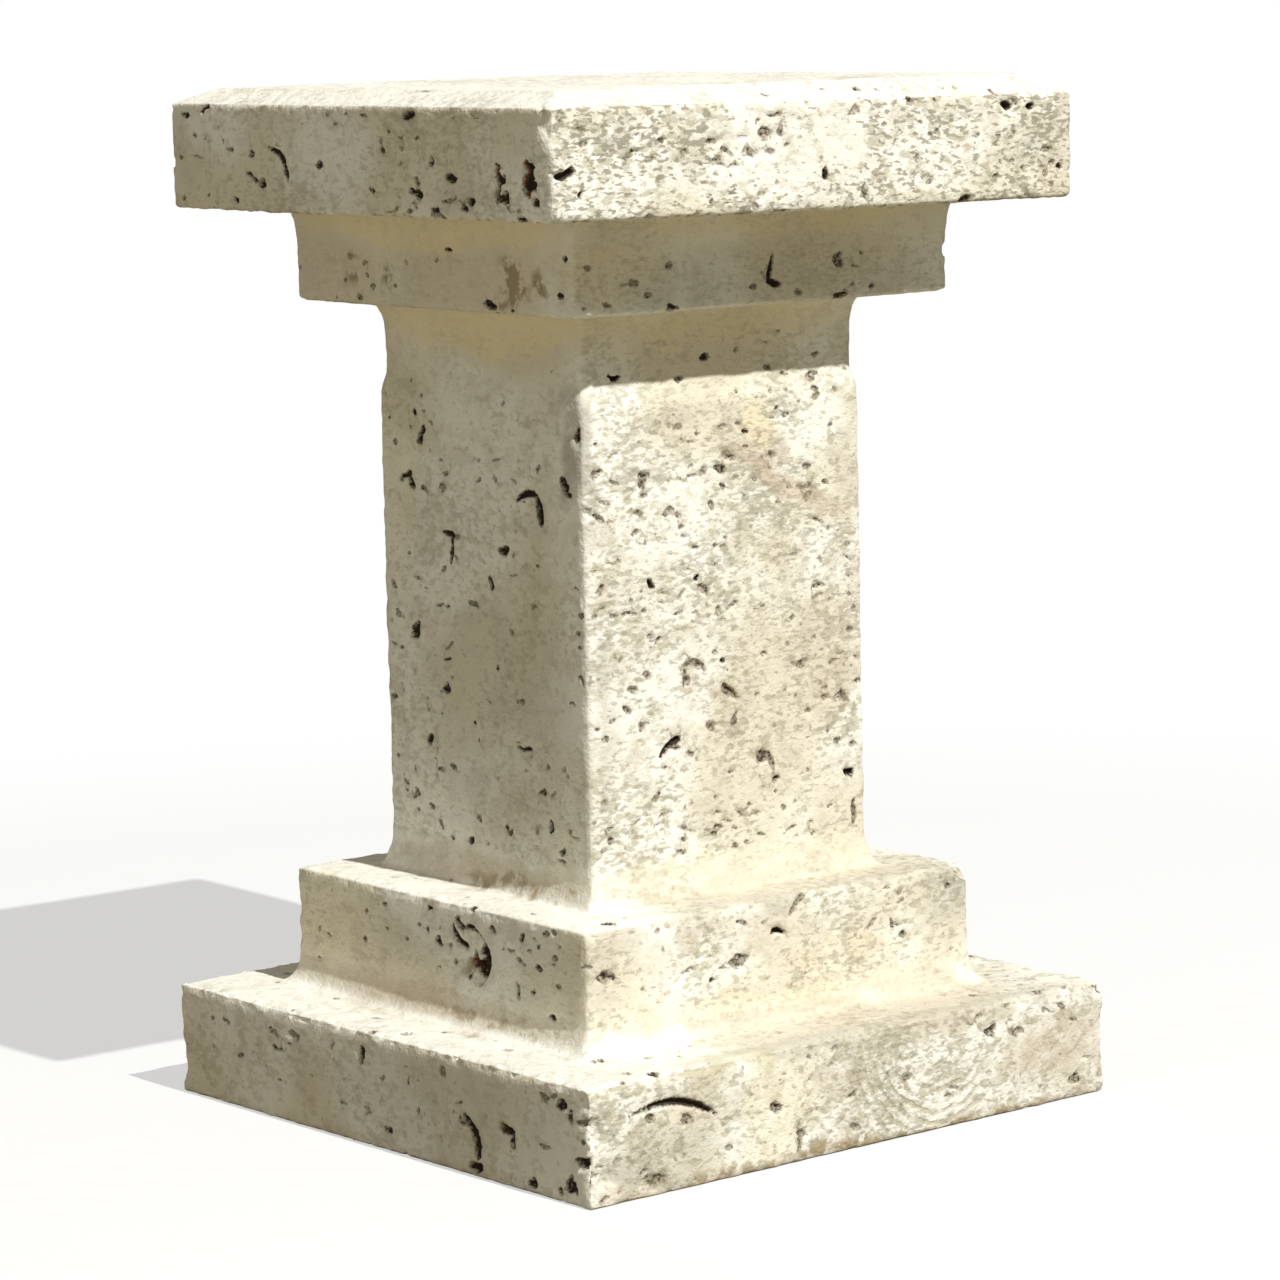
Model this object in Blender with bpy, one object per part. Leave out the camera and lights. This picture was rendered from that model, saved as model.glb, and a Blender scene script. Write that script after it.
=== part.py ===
"""A square stone pedestal carved from one block: two plinths, shaft, cap block and top slab, joined by coves.

The origin is the centre of the underside, +Z is up, and the sides of the foot lie along X and Y.
Lengths are in metres and angles in degrees.
"""

import math
from dataclasses import dataclass

import bmesh
import bpy
from mathutils import Matrix, Vector, noise

# Width is along X and depth along Y.
LOWER_PLINTH_WIDTH = 0.322
LOWER_PLINTH_DEPTH = 0.322
LOWER_PLINTH_HEIGHT = 0.0555
UPPER_PLINTH_WIDTH = 0.2340
UPPER_PLINTH_DEPTH = 0.2304
UPPER_PLINTH_HEIGHT = 0.0579
SHAFT_WIDTH = 0.1644
SHAFT_DEPTH = 0.1624
SHAFT_HEIGHT = 0.2786
CAP_WIDTH = 0.2230
CAP_DEPTH = 0.2210
CAP_HEIGHT = 0.0453
SLAB_WIDTH = 0.306
SLAB_DEPTH = 0.306
SLAB_HEIGHT = 0.0567

# The tiers above the foot were cut by eye, so each stands a little off the foot's centre and square.
UPPER_PLINTH_SHIFT = (-0.0016, 0.0013)
SHAFT_SHIFT = (-0.0023, 0.0019)
CAP_SHIFT = (-0.0004, 0.0004)
SLAB_SHIFT = (-0.0006, 0.0005)
UPPER_PLINTH_TURN = -1.0
SHAFT_TURN = -2.1
CAP_TURN = -1.7
SLAB_TURN = -1.7

# Radius of the worn vertical arrises.
LOWER_PLINTH_ARRIS = 0.0030
UPPER_PLINTH_ARRIS = 0.0040
SHAFT_ARRIS = 0.0055
CAP_ARRIS = 0.0025
SLAB_ARRIS = 0.0035

# Level edges, and the coves that join each tier to the next.
FOOT_EDGE = 0.0015
LOWER_PLINTH_TOP_WEAR = 0.0040
UPPER_PLINTH_COVE_REACH = 0.0090
UPPER_PLINTH_COVE_HEIGHT = 0.0150
UPPER_PLINTH_TOP_WEAR = 0.0050
SHAFT_FOOT_COVE_REACH = 0.0075
SHAFT_FOOT_COVE_HEIGHT = 0.0190
NECK_HEIGHT = 0.0460
NECK_INSET = 0.0022
NECK_STEP = 0.0040
SHAFT_HEAD_COVE_REACH = 0.0070
SHAFT_HEAD_COVE_HEIGHT = 0.0160
CAP_LOWER_EDGE = 0.0018
CAP_COVE_REACH = 0.0048
CAP_COVE_HEIGHT = 0.0210
SLAB_LOWER_EDGE = 0.0025
SLAB_BEVEL_WIDTH = 0.0160
SLAB_BEVEL_HEIGHT = 0.0070
SLAB_EDGE_EASE = 0.0012

CORNER_STEPS = 3
CURVE_STEPS = 4

# How far a void's wall swells and shrinks, how often round the void, and how soon the pattern changes.
VOID_ROUGHNESS = 0.30
VOID_GRAIN = 1.7
VOID_VARIETY = 100.0
LARGE_VOID = 0.0088

# Middle size of the scattered voids, how far sizes and lean vary, and the share of a face that they keep to.
SCATTER_WIDTH = 0.0072
SCATTER_HEIGHT = 0.0046
SCATTER_DEPTH = 0.0030
SCATTER_SPREAD = 0.45
SCATTER_LEAN = 20.0
SCATTER_MARGIN = 0.88

# Steps across and up a face that never fall into rows, and what shifts them from one face to the next.
EVEN_STEPS = (0.7549, 0.5698)
FACE_STEPS = (0.37, 0.61)

STONE_COLOUR = (0.66, 0.60, 0.47, 1.0)
STONE_ROUGHNESS = 0.88

# Turn about Z that brings the south face (towards -Y) round to each face.
FACE_TURN = {"south": 0.0, "east": 90.0, "north": 180.0, "west": 270.0}


@dataclass(frozen=True)
class Tier:
    """One square block of the stack. Its foot and head are the heights of its lower and upper limits."""

    width: float
    depth: float
    foot: float
    head: float
    arris: float
    shift: tuple = (0.0, 0.0)
    turn: float = 0.0

    def placement(self):
        return Matrix.Translation((*self.shift, 0.0)) @ Matrix.Rotation(math.radians(self.turn), 4, "Z")


def stacked_tiers():
    """The five tiers from the foot up, each standing on the one before."""
    sizes = (
        ("lower plinth", LOWER_PLINTH_WIDTH, LOWER_PLINTH_DEPTH, LOWER_PLINTH_HEIGHT, LOWER_PLINTH_ARRIS),
        ("upper plinth", UPPER_PLINTH_WIDTH, UPPER_PLINTH_DEPTH, UPPER_PLINTH_HEIGHT, UPPER_PLINTH_ARRIS),
        ("shaft", SHAFT_WIDTH, SHAFT_DEPTH, SHAFT_HEIGHT, SHAFT_ARRIS),
        ("cap", CAP_WIDTH, CAP_DEPTH, CAP_HEIGHT, CAP_ARRIS),
        ("slab", SLAB_WIDTH, SLAB_DEPTH, SLAB_HEIGHT, SLAB_ARRIS),
    )
    places = {
        "upper plinth": (UPPER_PLINTH_SHIFT, UPPER_PLINTH_TURN),
        "shaft": (SHAFT_SHIFT, SHAFT_TURN),
        "cap": (CAP_SHIFT, CAP_TURN),
        "slab": (SLAB_SHIFT, SLAB_TURN),
    }
    tiers = {}
    foot = 0.0
    for name, width, depth, height, arris in sizes:
        tiers[name] = Tier(width, depth, foot, foot + height, arris, *places.get(name, ()))
        foot += height
    return tiers


# Open voids and chips that show from a step away, as (across, up, width, height, depth, lean).
# Across runs from -1 at a face's left end to 1 at its right, and up from 0 at its foot to 1 at its head.
VOIDS = {
    ("slab", "west"): (
        (-0.54, 0.49, 0.0065, 0.0060, 0.0040, 0),
        (-0.48, 0.23, 0.0057, 0.0073, 0.0040, 15),
        (0.31, 0.79, 0.0097, 0.0045, 0.0035, 0),
        (0.32, 0.21, 0.0097, 0.0042, 0.0035, -10),
        (0.76, 0.27, 0.0075, 0.0120, 0.0050, 12),
        (0.90, 0.34, 0.0065, 0.0150, 0.0050, -6),
    ),
    ("slab", "south"): (
        (-1.00, 0.72, 0.0150, 0.0150, 0.0045, 0),
        (-0.94, 0.37, 0.0077, 0.0042, 0.0035, 0),
        (-0.42, 0.56, 0.0100, 0.0050, 0.0022, 0),
        (0.01, 0.26, 0.0053, 0.0054, 0.0040, 0),
        (0.17, 0.05, 0.0030, 0.0130, 0.0050, 8),
        (0.73, 0.74, 0.0053, 0.0070, 0.0040, 0),
        (0.83, 0.72, 0.0053, 0.0054, 0.0040, 0),
    ),
    ("cap", "west"): ((0.44, 0.05, 0.0145, 0.0060, 0.0040, 0),),
    ("cap", "south"): (
        (-0.51, 0.04, 0.0070, 0.0060, 0.0035, 0),
        (0.02, 0.22, 0.0070, 0.0070, 0.0035, 0),
        (0.39, 0.38, 0.0060, 0.0070, 0.0030, 0),
        (1.00, 0.44, 0.0110, 0.0060, 0.0055, 0),
    ),
    ("shaft", "west"): (
        (-0.57, 0.774, 0.0070, 0.0115, 0.0045, -10),
        (-0.71, 0.690, 0.0105, 0.0080, 0.0040, 0),
        (0.46, 0.682, 0.0100, 0.0036, 0.0035, 0),
        (0.62, 0.670, 0.0070, 0.0100, 0.0045, 10),
        (0.86, 0.706, 0.0065, 0.0085, 0.0045, 0),
        (0.21, 0.584, 0.0080, 0.0060, 0.0035, 0),
        (0.09, 0.520, 0.0042, 0.0090, 0.0040, 0),
        (-0.69, 0.430, 0.0070, 0.0070, 0.0040, 0),
        (-0.37, 0.330, 0.0072, 0.0050, 0.0035, 0),
        (0.54, 0.180, 0.0072, 0.0046, 0.0040, 0),
        (0.63, 0.128, 0.0050, 0.0060, 0.0040, 0),
    ),
    ("shaft", "south"): (
        (-0.75, 0.892, 0.0120, 0.0060, 0.0055, 0),
        (-0.57, 0.706, 0.0054, 0.0075, 0.0040, 10),
        (0.73, 0.677, 0.0060, 0.0042, 0.0035, 0),
        (-0.52, 0.540, 0.0052, 0.0042, 0.0035, 0),
        (-0.22, 0.540, 0.0052, 0.0046, 0.0035, 0),
        (-0.27, 0.379, 0.0120, 0.0070, 0.0035, -20),
        (0.01, 0.332, 0.0110, 0.0070, 0.0040, -30),
        (-0.40, 0.257, 0.0150, 0.0056, 0.0045, 28),
        (0.24, 0.214, 0.0095, 0.0070, 0.0040, 0),
        (0.89, 0.171, 0.0056, 0.0044, 0.0040, 0),
        (0.93, 0.100, 0.0034, 0.0150, 0.0040, 8),
    ),
    ("upper plinth", "west"): (
        (0.26, 0.56, 0.0260, 0.0210, 0.0090, 25),
        (0.01, 0.61, 0.0064, 0.0040, 0.0035, 0),
    ),
    ("upper plinth", "south"): (
        (-0.91, 0.60, 0.0086, 0.0042, 0.0035, 0),
        (-0.21, 0.54, 0.0072, 0.0036, 0.0030, 0),
        (-0.03, 0.75, 0.0090, 0.0046, 0.0040, 0),
        (0.64, 0.475, 0.0080, 0.0042, 0.0035, 0),
        (1.00, 1.00, 0.0150, 0.0130, 0.0060, 0),
    ),
    ("lower plinth", "west"): (
        (-1.00, 0.30, 0.0080, 0.0300, 0.0036, 0),
        (-0.06, 0.77, 0.0044, 0.0060, 0.0035, 0),
        (0.47, 0.09, 0.0095, 0.0075, 0.0045, 0),
        (0.63, 0.45, 0.0126, 0.0052, 0.0040, -10),
        (0.88, 0.79, 0.0100, 0.0060, 0.0040, 0),
        (0.91, 0.14, 0.0072, 0.0062, 0.0045, 0),
    ),
    ("lower plinth", "south"): (
        (-1.00, 0.93, 0.0240, 0.0220, 0.0060, 0),
        (-1.00, 0.36, 0.0120, 0.0075, 0.0045, 0),
        (-0.64, 0.56, 0.0090, 0.0062, 0.0040, 0),
        (-0.32, 0.50, 0.0062, 0.0070, 0.0040, 0),
        (-0.22, 0.14, 0.0062, 0.0060, 0.0040, 0),
        (0.53, 0.79, 0.0075, 0.0080, 0.0040, 0),
        (0.86, 0.18, 0.0075, 0.0062, 0.0040, 0),
    ),
}

# Open cracks, as (start, end, bulge, thickness, depth), with each end as (across, up).
# A crack bulges to the left of the way from its start to its end.
CRACKS = {
    ("slab", "west"): (((-0.444, 0.52), (-0.34, 0.26), 0.0030, 0.0036, 0.0050),),
    ("upper plinth", "south"): (((0.03, 0.80), (0.11, 0.93), 0.0010, 0.0036, 0.0045),),
    ("lower plinth", "west"): (((0.43, 0.52), (0.50, 0.20), 0.0040, 0.0050, 0.0060),),
    ("lower plinth", "south"): (((-0.845, 0.78), (-0.54, 0.58), 0.0050, 0.0036, 0.0070),),
}
CRACK_RINGS = 9
CRACK_SIDES = 6
CRACK_TIP = 0.25

# How many voids are scattered on a tier's face, on the two faces that the lists above leave plain.
SCATTERED = {"slab": 5, "cap": 3, "shaft": 9, "upper plinth": 3, "lower plinth": 4}
SCATTERED_FACES = ("east", "north")


def curve_angles():
    return [math.pi / 2 * k / CURVE_STEPS for k in range(CURVE_STEPS + 1)]


def foot_curve(tier, reach, height, inset=0.0):
    """Quarter ellipse up from a tier's foot: a rounded lower edge, or a cove where the reach is negative."""
    return [
        (tier, tier.foot + height * (1 - math.cos(angle)), inset + reach * (1 - math.sin(angle)))
        for angle in curve_angles()
    ]


def head_curve(tier, reach, height, inset=0.0):
    """Quarter ellipse up to a tier's head: a rounded upper edge, or a cove where the reach is negative."""
    return [
        (tier, tier.head - height * (1 - math.sin(angle)), inset + reach * (1 - math.cos(angle)))
        for angle in curve_angles()
    ]


def stone_profile(tiers):
    """The levels of the stone from the underside up, as (tier, height, inset from the tier's faces)."""
    lower, upper, shaft, cap, slab = tiers.values()
    neck = shaft.head - NECK_HEIGHT
    brow = slab.head - SLAB_BEVEL_HEIGHT
    return [
        *foot_curve(lower, FOOT_EDGE, FOOT_EDGE),
        *head_curve(lower, LOWER_PLINTH_TOP_WEAR, LOWER_PLINTH_TOP_WEAR),
        *foot_curve(upper, -UPPER_PLINTH_COVE_REACH, UPPER_PLINTH_COVE_HEIGHT),
        *head_curve(upper, UPPER_PLINTH_TOP_WEAR, UPPER_PLINTH_TOP_WEAR),
        *foot_curve(shaft, -SHAFT_FOOT_COVE_REACH, SHAFT_FOOT_COVE_HEIGHT),
        (shaft, neck, 0.0),
        (shaft, neck + NECK_STEP, NECK_INSET),
        *head_curve(shaft, -SHAFT_HEAD_COVE_REACH, SHAFT_HEAD_COVE_HEIGHT, NECK_INSET),
        *foot_curve(cap, CAP_LOWER_EDGE, CAP_LOWER_EDGE),
        *head_curve(cap, -CAP_COVE_REACH, CAP_COVE_HEIGHT),
        *foot_curve(slab, SLAB_LOWER_EDGE, SLAB_LOWER_EDGE),
        (slab, brow - SLAB_EDGE_EASE, 0.0),
        (slab, brow, SLAB_EDGE_EASE / 2),
        (slab, slab.head - SLAB_EDGE_EASE / 2, SLAB_BEVEL_WIDTH - SLAB_EDGE_EASE),
        (slab, slab.head, SLAB_BEVEL_WIDTH),
    ]


def section(tier, height, inset):
    """A loop of points round the tier, anticlockwise from above, with its corners rounded to the arris."""
    place = tier.placement()
    centre_x = tier.width / 2 - inset - tier.arris
    centre_y = tier.depth / 2 - inset - tier.arris
    points = []
    for quarter, (side_x, side_y) in enumerate(((1, 1), (-1, 1), (-1, -1), (1, -1))):
        for step in range(CORNER_STEPS + 1):
            angle = math.pi / 2 * (quarter + step / CORNER_STEPS)
            x = side_x * centre_x + tier.arris * math.cos(angle)
            y = side_y * centre_y + tier.arris * math.sin(angle)
            points.append(place @ Vector((x, y, height)))
    return points


def lofted_mesh(name, rings):
    """A closed mesh skinned over rings of equal count, with a flat cap on the first and the last."""
    count = len(rings[0])
    faces = [list(range(count))[::-1], [(len(rings) - 1) * count + k for k in range(count)]]
    for row in range(len(rings) - 1):
        for k in range(count):
            here, there = row * count, (row + 1) * count
            after = (k + 1) % count
            faces.append((here + k, here + after, there + after, there + k))
    mesh = bpy.data.meshes.new(name)
    mesh.from_pydata([point for ring in rings for point in ring], [], faces)
    return mesh


def face_frame(tier, face, across, up):
    """Axes on a face: X to the right, Y into the stone and Z up, with the origin at (across, up)."""
    runs_along_x = face in ("south", "north")
    half_across = (tier.width if runs_along_x else tier.depth) / 2
    half_out = (tier.depth if runs_along_x else tier.width) / 2
    height = tier.foot + up * (tier.head - tier.foot)
    turned = tier.placement() @ Matrix.Rotation(math.radians(FACE_TURN[face]), 4, "Z")
    return turned @ Matrix.Translation((across * half_across, -half_out, height))


def add_void(cutter, frame, width, height, depth, lean):
    """Adds an uneven ellipsoid to the cutter, half of it inside the stone."""
    size = Matrix.Diagonal((width / 2, depth, height / 2, 1.0))
    place = frame @ Matrix.Rotation(math.radians(lean), 4, "Y") @ size
    fineness = 2 if max(width, height) > LARGE_VOID else 1
    added = bmesh.ops.create_icosphere(cutter, subdivisions=fineness, radius=1.0)
    origin = frame.translation * VOID_VARIETY
    for vertex in added["verts"]:
        swell = 1 + VOID_ROUGHNESS * noise.noise(vertex.co * VOID_GRAIN + origin)
        vertex.co = place @ (vertex.co * swell)


def scattered_voids(count, salt):
    """Evenly spread places on a face, with a size and lean for each. Salt changes them from face to face."""
    for k in range(1, count + 1):
        across, up = ((k * step + salt * shift) % 1 - 0.5 for step, shift in zip(EVEN_STEPS, FACE_STEPS))
        scale = 1 + SCATTER_SPREAD * math.sin(2 * k + salt)
        yield (
            2 * across * SCATTER_MARGIN,
            0.5 + up * SCATTER_MARGIN,
            SCATTER_WIDTH * scale,
            SCATTER_HEIGHT / math.sqrt(scale),
            SCATTER_DEPTH * math.sqrt(scale),
            SCATTER_LEAN * math.sin(k + salt),
        )


def crack_rings(tier, face, start, end, bulge, thickness, depth):
    """Elliptical rings along a curve on the face, thin at both tips and full between them."""
    frame = face_frame(tier, face, 0.0, 0.0)
    to_face = frame.inverted()
    first = to_face @ face_frame(tier, face, *start).translation
    last = to_face @ face_frame(tier, face, *end).translation
    along = (last - first).normalized()
    left = Vector((-along.z, 0.0, along.x))
    rings = []
    for k in range(CRACK_RINGS):
        share = k / (CRACK_RINGS - 1)
        full = CRACK_TIP + (1 - CRACK_TIP) * math.sin(math.pi * share)
        centre = first.lerp(last, share) + left * (4 * bulge * share * (1 - share))
        ring = []
        for side in range(CRACK_SIDES):
            angle = 2 * math.pi * side / CRACK_SIDES
            out = left * (math.cos(angle) * thickness / 2 * full)
            into = Vector((0.0, math.sin(angle) * depth * full, 0.0))
            ring.append(frame @ (centre + out + into))
        rings.append(ring)
    return rings


def void_cutter(tiers):
    """All the voids, chips and cracks of the stone, as one cutter."""
    cutter = bmesh.new()
    for (name, face), rows in VOIDS.items():
        for across, up, *size in rows:
            add_void(cutter, face_frame(tiers[name], face, across, up), *size)
    for salt, face in enumerate(SCATTERED_FACES):
        for row, (name, count) in enumerate(SCATTERED.items()):
            for across, up, *size in scattered_voids(count, salt + 2 * row):
                add_void(cutter, face_frame(tiers[name], face, across, up), *size)
    for (name, face), rows in CRACKS.items():
        for row in rows:
            crack = lofted_mesh("crack", crack_rings(tiers[name], face, *row))
            cutter.from_mesh(crack)
            bpy.data.meshes.remove(crack)
    bmesh.ops.recalc_face_normals(cutter, faces=cutter.faces)
    mesh = bpy.data.meshes.new("voids")
    cutter.to_mesh(mesh)
    cutter.free()
    return mesh


def add_object(mesh, collection):
    made = bpy.data.objects.new(mesh.name, mesh)
    collection.objects.link(made)
    return made


def cut_from(stone, mesh, cutters):
    """Keeps the mesh as a hidden cutter and takes it out of the stone."""
    cutter = add_object(mesh, cutters)
    cutter.hide_render = True
    cutter.display_type = "WIRE"
    boolean = stone.modifiers.new(f"cut {mesh.name}", "BOOLEAN")
    boolean.operation = "DIFFERENCE"
    boolean.solver = "EXACT"
    boolean.use_self = True
    boolean.object = cutter


def stone_material():
    material = bpy.data.materials.new("travertine")
    material.use_nodes = True
    shader = material.node_tree.nodes["Principled BSDF"]
    shader.inputs["Base Color"].default_value = STONE_COLOUR
    shader.inputs["Roughness"].default_value = STONE_ROUGHNESS
    shader.inputs["Metallic"].default_value = 0.0
    return material


def new_collection(name):
    collection = bpy.data.collections.new(name)
    bpy.context.scene.collection.children.link(collection)
    return collection


def build():
    for old in list(bpy.data.objects):
        bpy.data.objects.remove(old)
    parts = new_collection("carved stone pedestal")
    cutters = new_collection("cutters")
    tiers = stacked_tiers()
    rings = [section(*level) for level in stone_profile(tiers)]
    stone = add_object(lofted_mesh("pedestal", rings), parts)
    stone.data.materials.append(stone_material())
    cut_from(stone, void_cutter(tiers), cutters)


build()
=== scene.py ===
import math
from itertools import product

import bpy
import numpy as np
from mathutils import Matrix, Vector


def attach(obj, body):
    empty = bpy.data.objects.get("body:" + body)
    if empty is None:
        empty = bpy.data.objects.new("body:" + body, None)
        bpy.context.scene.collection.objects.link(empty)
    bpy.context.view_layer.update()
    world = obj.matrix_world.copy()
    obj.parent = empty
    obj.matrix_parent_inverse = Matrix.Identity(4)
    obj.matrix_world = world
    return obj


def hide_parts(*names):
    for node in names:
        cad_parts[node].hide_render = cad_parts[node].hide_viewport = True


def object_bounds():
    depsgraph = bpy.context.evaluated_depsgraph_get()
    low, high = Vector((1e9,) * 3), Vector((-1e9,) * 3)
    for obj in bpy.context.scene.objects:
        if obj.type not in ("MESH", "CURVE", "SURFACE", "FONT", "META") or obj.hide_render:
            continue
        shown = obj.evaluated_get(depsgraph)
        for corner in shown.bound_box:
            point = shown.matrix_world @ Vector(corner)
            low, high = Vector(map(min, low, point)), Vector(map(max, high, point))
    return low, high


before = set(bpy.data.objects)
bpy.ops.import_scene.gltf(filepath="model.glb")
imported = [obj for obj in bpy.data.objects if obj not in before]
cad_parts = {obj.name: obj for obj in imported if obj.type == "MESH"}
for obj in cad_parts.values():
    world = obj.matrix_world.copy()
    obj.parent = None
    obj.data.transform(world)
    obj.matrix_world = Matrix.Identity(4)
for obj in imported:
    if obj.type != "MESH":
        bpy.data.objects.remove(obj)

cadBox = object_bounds()
mm = 0.001

# Tiers of the stone from the foot up, in metres and degrees: the forms of the fixed frame.
tiers = {
    "lowerPlinth": dict(width=0.3220, depth=0.3220, height=0.0555, arris=0.0014, shift=(0.0, 0.0), turn=0.0),
    "upperPlinth": dict(width=0.2340, depth=0.2304, height=0.0579, arris=0.0015, shift=(-0.0016, 0.0013), turn=-1.0),
    "shaft": dict(width=0.1644, depth=0.1624, height=0.2786, arris=0.0017, shift=(-0.0023, 0.0019), turn=-2.1),
    "cap": dict(width=0.2230, depth=0.2210, height=0.0453, arris=0.0016, shift=(-0.0004, 0.0004), turn=-1.7),
    "slab": dict(width=0.3060, depth=0.3060, height=0.0567, arris=0.0016, shift=(-0.0006, 0.0005), turn=-1.7),
}
level = 0.0
for tier in tiers.values():
    tier["foot"] = level
    level += tier["height"]
    tier["head"] = level

# Worn level edges and coves, as (reach, height). A cove reaches out of its face, so its reach is below 0.
tierEnds = dict(lowerPlinth=dict(foot=(0.0015, 0.0015), head=(0.0024, 0.0024)),
                upperPlinth=dict(foot=(-0.0090, 0.0150), head=(0.0028, 0.0028)),
                shaft=dict(foot=(-0.0075, 0.0190), head=(-0.0070, 0.0160)),
                cap=dict(foot=(0.0016, 0.0016), head=(-0.0048, 0.0210)), slab=dict(foot=(0.0022, 0.0022)))
bevel = dict(reach=0.0160, height=0.0070, ease=0.0012)
neck = dict(height=0.0460, inset=0.0022, step=0.0090)

# How finely the surface is worked out, in metres from row to row, and how many triangles are kept of it.
fineness = dict(sideColumns=250, arrisColumns=5, curveRows=12, rowStep=0.0010, topStep=0.0020, topHole=0.004,
                triangles=194000)

# What the chisel and the weather took off, in metres: how deep, and the size of each pattern. Coves and the foot's
# edge are calmer, and the uncut skin stands out less where it faces the sky.
wear = dict(waver=0.0009, waverSize=0.070, rough=0.00055, roughSize=0.010, grain=0.00030, grainSize=0.0036,
            edge=0.0011, edgeReach=0.0032, edgeSize=0.0060, coveCalm=0.45, coveUneven=0.0045, coveSize=0.018,
            footLevel=0.005, footEdge=0.4, footChips=0.3, skyProud=0.6)
# How far the uncut skin of each tier stands out before the wear is taken, how much worse its edges are worn, and
# how many of the chips along them are there.
skins = dict(lowerPlinth=(0.0008, 1.3, 1.0), upperPlinth=(0.0018, 0.8, 0.5), shaft=(0.0018, 0.5, 0.15),
             cap=(0.0013, 0.5, 0.2), slab=(0.0016, 0.45, 0.4))

# Layers of scattered voids: one cell of the lattice holds one void at most, squeezed level by its last number.
# Dark is how far a void's dirt and painted shade reach in, in metres, and the chips along the edges have none.
voidLayers = (
    dict(cell=0.0180, share=0.22, radii=(0.10, 0.22), depth=0.0024, salt=11, dark=0.00035, squeeze=1.5),
    dict(cell=0.0095, share=0.34, radii=(0.14, 0.30), depth=0.0014, salt=23, dark=0.00005, squeeze=1.6),
    dict(cell=0.0085, share=0.80, radii=(0.20, 0.44), depth=0.0013, salt=37, dark=None, squeeze=1.2),
)
# Where the scattered voids gather, how uneven their walls are, and how near to an edge its chips keep, in metres.
scatter = dict(evenly=0.75, gather=1.1, gatherSize=0.045, wall=(0.0030, 0.0008), chipReach=0.0025)

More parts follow.
